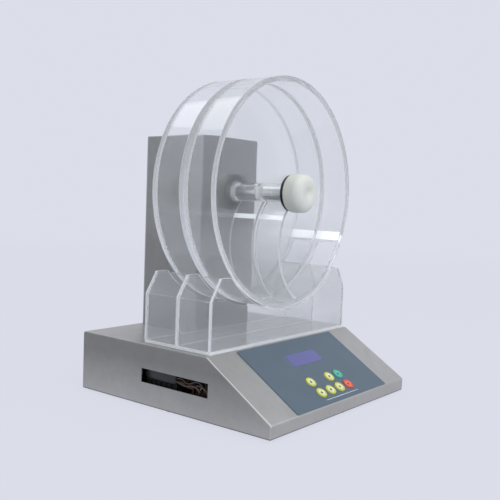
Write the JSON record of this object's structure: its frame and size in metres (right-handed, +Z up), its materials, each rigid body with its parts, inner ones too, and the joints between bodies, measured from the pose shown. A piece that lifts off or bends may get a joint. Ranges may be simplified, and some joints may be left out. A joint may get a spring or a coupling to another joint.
{
  "type": "tablet friability tester",
  "caption": "Bench tester that tumbles tablets in clear drums on a motor-driven spindle over a sloping control base, with a curved vane in each drum and a clear collecting tray.",
  "frame": {"origin": "centre of the bounding box, at the underside of the feet", "axes": "+Z up, -Y towards the user (the control panel), +X to the user's right"},
  "size_m": [0.312, 0.319, 0.4215],
  "materials": {
    "housing_steel": "fine brushed, satin",
    "tower_steel": "fine brushed, satin",
    "plate_steel": "zinc-grey paint",
    "foot_rubber": "matt",
    "screw_steel": "bright",
    "drum_acrylic": "clear, polished",
    "vane_acrylic": "clear, polished",
    "tray_acrylic": "clear, polished",
    "spindle_steel": "turned, satin",
    "washer_black": "matt black",
    "knob_white": "moulded, glossy",
    "overlay_blue": "fine matt film",
    "window_violet": "clear, tinted",
    "board_green": "glass-filled board",
    "key_yellow": "matt",
    "key_green": "matt",
    "key_red": "matt",
    "black_plastic": "fine texture",
    "supply_grey": "satin, anodised dark",
    "wire_brown": "satin",
    "cast_grey": "machined",
    "gear_plastic": "natural, matt",
    "gear_brass": "machined"
  },
  "bodies": {
    "base": {"housing": "housing_steel", "base_plate": "plate_steel", "feet": "foot_rubber", "tower_shell": "tower_steel", "tower_back_cover": "tower_steel", "cover_screws": "screw_steel", "bearing_block": "cast_grey", "motor_plate": "plate_steel", "gearmotor": "cast_grey", "overlay": "overlay_blue", "display_window": "window_violet", "display_module": "board_green", "keypad_board": "board_green", "board_spacers": "screw_steel", "control_board": "board_green", "power_supply": "supply_grey", "terminal_block": "black_plastic", "wires": "wire_brown", "inlet": "black_plastic", "switch_frame": "black_plastic"},
    "spindle": {"spindle": "spindle_steel", "spindle_gear": "gear_plastic"},
    "motor_output": {"motor_pinion": "gear_brass"},
    "rear_drum": {"rear_drum_shell": "drum_acrylic", "rear_drum_vane": "vane_acrylic"},
    "rear_cover": {"rear_drum_cover": "drum_acrylic"},
    "front_drum": {"front_drum_shell": "drum_acrylic", "front_drum_vane": "vane_acrylic"},
    "front_cover": {"front_drum_cover": "drum_acrylic"},
    "knob": {"clamp_knob": "knob_white", "clamp_washer": "washer_black"},
    "tray": {"tray_floor": "tray_acrylic", "tray_walls": "tray_acrylic", "tray_front_plate": "tray_acrylic", "tray_middle_plate": "tray_acrylic", "tray_rear_plate": "tray_acrylic"},
    "rocker": {"power_rocker": "black_plastic"},
    "key_left_upper_body": {"key_left_upper": "key_yellow"},
    "key_right_upper_body": {"key_right_upper": "key_yellow"},
    "key_left_lower_body": {"key_left_lower": "key_yellow"},
    "key_middle_lower_body": {"key_middle_lower": "key_yellow"},
    "key_right_lower_body": {"key_right_lower": "key_yellow"},
    "start_key_body": {"start_key": "key_green"},
    "stop_key_body": {"stop_key": "key_red"}
  },
  "joints": [
    {"name": "spindle_spin", "type": "hinge", "parent": "base", "child": "spindle", "pos_m": [0, 0.03555, 0.272], "axis": [0, 1, 0], "continuous": true},
    {"name": "pinion_spin", "type": "hinge", "parent": "base", "child": "motor_output", "pos_m": [0, 0.11955, 0.224], "axis": [0, 1, 0], "continuous": true},
    {"name": "rear_drum_off", "type": "slide", "parent": "spindle", "child": "rear_drum", "axis": [0, -1, 0], "range_m": [0, 0.05]},
    {"name": "rear_cover_off", "type": "slide", "parent": "spindle", "child": "rear_cover", "axis": [0, -1, 0], "range_m": [0, 0.075]},
    {"name": "front_drum_off", "type": "slide", "parent": "spindle", "child": "front_drum", "axis": [0, -1, 0], "range_m": [0, 0.1]},
    {"name": "front_cover_off", "type": "slide", "parent": "spindle", "child": "front_cover", "axis": [0, -1, 0], "range_m": [0, 0.125]},
    {"name": "knob_off", "type": "slide", "parent": "spindle", "child": "knob", "axis": [0, -1, 0], "range_m": [0, 0.15]},
    {"name": "tray_slide", "type": "slide", "parent": "base", "child": "tray", "axis": [0, -1, 0], "range_m": [0, 0.1]},
    {"name": "key_left_upper_press", "type": "slide", "parent": "base", "child": "key_left_upper_body", "axis": [0, 0.5287, -0.8488], "range_m": [0, 0.001], "stiffness_N_per_m": 600},
    {"name": "key_right_upper_press", "type": "slide", "parent": "base", "child": "key_right_upper_body", "axis": [0, 0.5287, -0.8488], "range_m": [0, 0.001], "stiffness_N_per_m": 600},
    {"name": "key_left_lower_press", "type": "slide", "parent": "base", "child": "key_left_lower_body", "axis": [0, 0.5287, -0.8488], "range_m": [0, 0.001], "stiffness_N_per_m": 600},
    {"name": "key_middle_lower_press", "type": "slide", "parent": "base", "child": "key_middle_lower_body", "axis": [0, 0.5287, -0.8488], "range_m": [0, 0.001], "stiffness_N_per_m": 600},
    {"name": "key_right_lower_press", "type": "slide", "parent": "base", "child": "key_right_lower_body", "axis": [0, 0.5287, -0.8488], "range_m": [0, 0.001], "stiffness_N_per_m": 600},
    {"name": "start_key_press", "type": "slide", "parent": "base", "child": "start_key_body", "axis": [0, 0.5287, -0.8488], "range_m": [0, 0.001], "stiffness_N_per_m": 600},
    {"name": "stop_key_press", "type": "slide", "parent": "base", "child": "stop_key_body", "axis": [0, 0.5287, -0.8488], "range_m": [0, 0.001], "stiffness_N_per_m": 600},
    {"name": "rocker_tilt", "type": "hinge", "parent": "base", "child": "rocker", "pos_m": [-0.036, 0.15535, 0.0385], "axis": [1, 0, 0], "range_deg": [-24, 0]}
  ],
  "couplings": [
    {"joint": "pinion_spin", "follows": "spindle_spin", "ratio": -3},
    {"joint": "rear_cover_off", "follows": "rear_drum_off", "ratio": 1.5},
    {"joint": "front_drum_off", "follows": "rear_drum_off", "ratio": 2},
    {"joint": "front_cover_off", "follows": "rear_drum_off", "ratio": 2.5},
    {"joint": "knob_off", "follows": "rear_drum_off", "ratio": 3}
  ]
}
